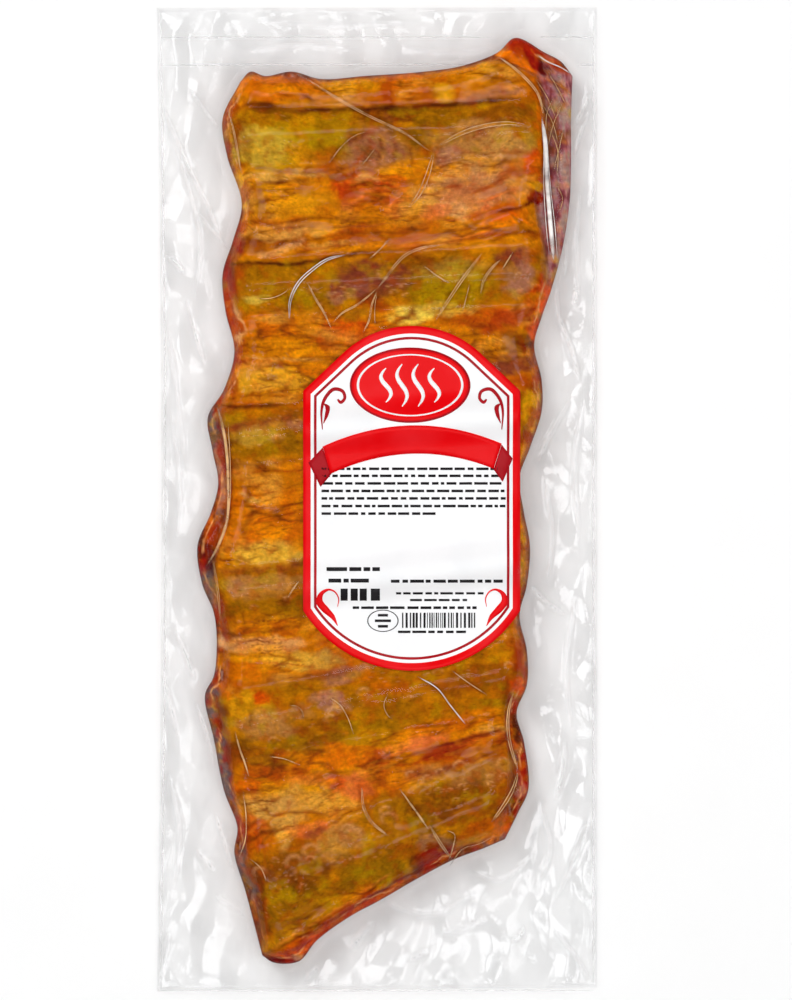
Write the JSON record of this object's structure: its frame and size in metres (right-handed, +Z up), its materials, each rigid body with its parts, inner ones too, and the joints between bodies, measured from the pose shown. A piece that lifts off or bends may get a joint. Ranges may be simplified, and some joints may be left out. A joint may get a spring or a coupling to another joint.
{
  "type": "smoked pork ribs pack",
  "caption": "Clear vacuum pouch drawn tight round a flat slab of smoked ribs that lies bone side up, with flat sealed margins and an arched paper label over its middle.",
  "frame": {"origin": "middle of the pack's footprint, on the surface that it rests on", "axes": "+Z up, out of the bone side that carries the label; +Y along the pouch towards its wide sealed top; +X to the right when the label is seen upright from above"},
  "size_m": [0.15, 0.335, 0.0254],
  "materials": {
    "smoked_meat": "smoked rib meat and bone, mottled ochre to red brown, under tight clear film",
    "clear_film": "clear glossy pouch film",
    "label_paper": "smooth coated white paper with red print"
  },
  "bodies": {
    "root": {"sealed_pouch": "smoked_meat", "label": "label_paper"}
  },
  "joints": []
}
